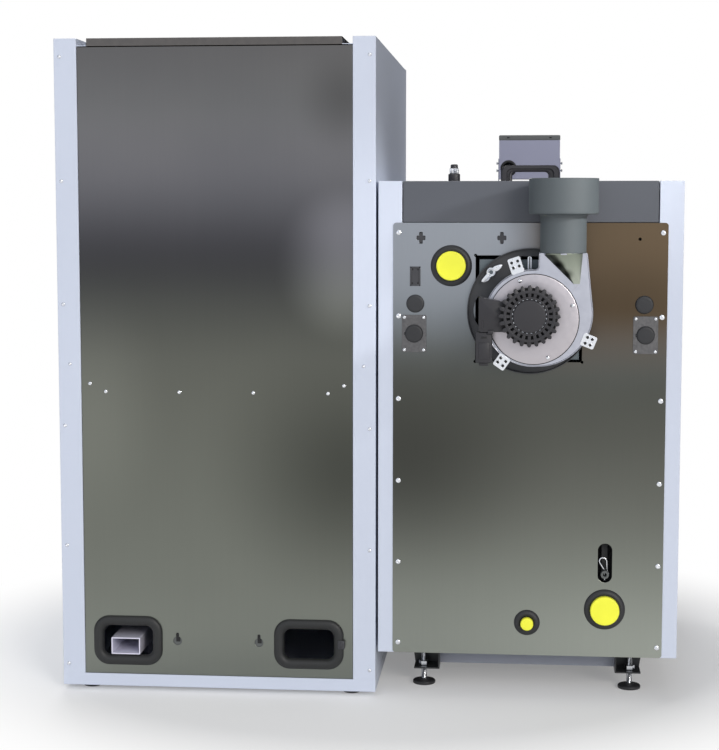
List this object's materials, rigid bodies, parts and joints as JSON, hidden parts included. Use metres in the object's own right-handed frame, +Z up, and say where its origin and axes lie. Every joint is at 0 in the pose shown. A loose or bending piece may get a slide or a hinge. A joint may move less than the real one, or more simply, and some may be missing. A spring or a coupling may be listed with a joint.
{
  "type": "pellet boiler",
  "caption": "Pellet boiler with a tall fuel hopper beside it: feed auger, burner, water vessel, flue fan, doors, drawer, lift-off cover and levelling feet.",
  "frame": {"origin": "middle of the whole outline on the floor, midway between the left side of the hopper and the right side of the boiler, and between the fan motor's tip and the door handle's tip", "axes": "Z up, -Y towards the rear with the fan and the water pipes, +X towards the boiler's free side as seen from the rear"},
  "size_m": [1.253, 1.095, 1.367],
  "materials": {
    "white_paint": "powder coat, satin",
    "zinc_sheet": "dark zinc sheet, soft reflections",
    "dark_paint": "dark grey powder coat",
    "flue_paint": "dark grey heat paint",
    "lavender_paint": "grey powder coat",
    "black_plastic": "moulded, matt",
    "black_rubber": "moulded rubber",
    "black_paint": "black coat",
    "bright_steel": "bright zinc plate",
    "cast_housing": "pressed bright sheet",
    "yellow_plastic": "moulded, yellow",
    "vessel_steel": "welded boiler plate",
    "pot_iron": "as cast",
    "mineral_wool": "pressed wool mat"
  },
  "bodies": {
    "casing": {"hopper_base": "white_paint", "hopper_glides": "black_plastic", "hopper_left_panel": "white_paint", "hopper_right_panel": "white_paint", "hopper_rear_panel": "zinc_sheet", "hopper_front_panel": "white_paint", "hopper_top_panel": "zinc_sheet", "hinges": "bright_steel", "hopper_bin": "bright_steel", "auger_tube": "bright_steel", "auger_motor": "dark_paint", "port_grommets": "black_rubber", "cable_duct": "bright_steel", "base_frame": "black_paint", "boiler_left_panel": "white_paint", "boiler_right_panel": "white_paint", "boiler_rear_panel": "zinc_sheet", "boiler_front_panel": "white_paint", "boiler_top_front": "dark_paint", "boiler_vessel": "vessel_steel", "fire_chamber": "vessel_steel", "smoke_tubes": "vessel_steel", "smoke_box_lid": "vessel_steel", "insulation_mats": "mineral_wool", "burner_pot": "pot_iron", "flue_box": "zinc_sheet", "fan_flange": "black_paint", "fan_volute": "cast_housing", "fan_cover_plate": "cast_housing", "fan_lugs": "bright_steel", "fan_motor": "black_plastic", "terminal_box": "black_plastic", "flue_adaptor": "flue_paint", "water_pipes": "black_paint", "pipe_grommets": "black_rubber", "cable_inlets": "black_rubber", "gland_plates": "zinc_sheet", "air_vent": "bright_steel", "control_box": "lavender_paint", "control_bezel": "black_plastic", "casing_screws": "bright_steel"},
    "lid": {"hopper_lid": "white_paint"},
    "auger": {"feed_auger": "bright_steel"},
    "foot_rl": {"foot_rear_left": "black_plastic"},
    "foot_rr": {"foot_rear_right": "black_plastic"},
    "foot_fl": {"foot_front_left": "black_plastic"},
    "foot_fr": {"foot_front_right": "black_plastic"},
    "cover": {"boiler_top_cover": "dark_paint", "top_handle": "black_plastic"},
    "door": {"fire_door": "dark_paint"},
    "door_lever": {"door_handle": "black_plastic"},
    "drawer": {"ash_drawer": "dark_paint"},
    "cleaner": {"turbulators": "bright_steel"},
    "clip": {"r_clip": "bright_steel"},
    "wing": {"wing_nut": "bright_steel"},
    "impeller": {"fan_impeller": "bright_steel"},
    "flow_cap": {"flow_cap": "yellow_plastic"},
    "return_cap": {"return_cap": "yellow_plastic"},
    "drain_cap": {"drain_cap": "yellow_plastic"},
    "switch": {"main_switch": "black_plastic"}
  },
  "joints": [
    {"name": "lid_hinge", "type": "hinge", "parent": "casing", "child": "lid", "pos_m": [-0.3025, -0.0895, 1.338], "axis": [1, 0, 0], "range_deg": [0, 85]},
    {"name": "auger_turn", "type": "hinge", "parent": "casing", "child": "auger", "pos_m": [-0.3025, 0.0525, 0.3], "axis": [1, 0, 0], "continuous": true},
    {"name": "foot_rl_screw", "type": "slide", "parent": "casing", "child": "foot_rl", "axis": [0, 0, -1], "range_m": [0, 0.015]},
    {"name": "foot_rr_screw", "type": "slide", "parent": "casing", "child": "foot_rr", "axis": [0, 0, -1], "range_m": [0, 0.015]},
    {"name": "foot_fl_screw", "type": "slide", "parent": "casing", "child": "foot_fl", "axis": [0, 0, -1], "range_m": [0, 0.015]},
    {"name": "foot_fr_screw", "type": "slide", "parent": "casing", "child": "foot_fr", "axis": [0, 0, -1], "range_m": [0, 0.015]},
    {"name": "cover_lift", "type": "slide", "parent": "casing", "child": "cover", "axis": [0, 0, 1], "range_m": [0, 0.12]},
    {"name": "door_hinge", "type": "hinge", "parent": "casing", "child": "door", "pos_m": [0.5125, 0.5115, 0.425], "axis": [0, 0, -1], "range_deg": [0, 110]},
    {"name": "door_lever_turn", "type": "hinge", "parent": "door", "child": "door_lever", "pos_m": [0.1765, 0.5385, 0.425], "axis": [0, -1, 0], "range_deg": [0, 90]},
    {"name": "drawer_slide", "type": "slide", "parent": "casing", "child": "drawer", "axis": [0, 1, 0], "range_m": [0, 0.45]},
    {"name": "cleaner_lift", "type": "slide", "parent": "casing", "child": "cleaner", "axis": [0, 0, 1], "range_m": [0, 0.045]},
    {"name": "clip_pull", "type": "slide", "parent": "cleaner", "child": "clip", "axis": [0, 0, 1], "range_m": [0, 0.025]},
    {"name": "wing_nut_turn", "type": "hinge", "parent": "casing", "child": "wing", "pos_m": [0.251, -0.4095, 0.867], "axis": [0, 1, 0], "continuous": true},
    {"name": "impeller_turn", "type": "hinge", "parent": "casing", "child": "impeller", "pos_m": [0.3265, -0.4775, 0.788], "axis": [0, 1, 0], "continuous": true},
    {"name": "flow_cap_pull", "type": "slide", "parent": "casing", "child": "flow_cap", "axis": [0, -1, 0], "range_m": [0, 0.06]},
    {"name": "return_cap_pull", "type": "slide", "parent": "casing", "child": "return_cap", "axis": [0, -1, 0], "range_m": [0, 0.06]},
    {"name": "drain_cap_pull", "type": "slide", "parent": "casing", "child": "drain_cap", "axis": [0, -1, 0], "range_m": [0, 0.06]},
    {"name": "switch_rock", "type": "hinge", "parent": "casing", "child": "switch", "pos_m": [0.3735, 0.3785, 1.1195], "axis": [1, 0, 0], "range_deg": [-8, 8]}
  ]
}
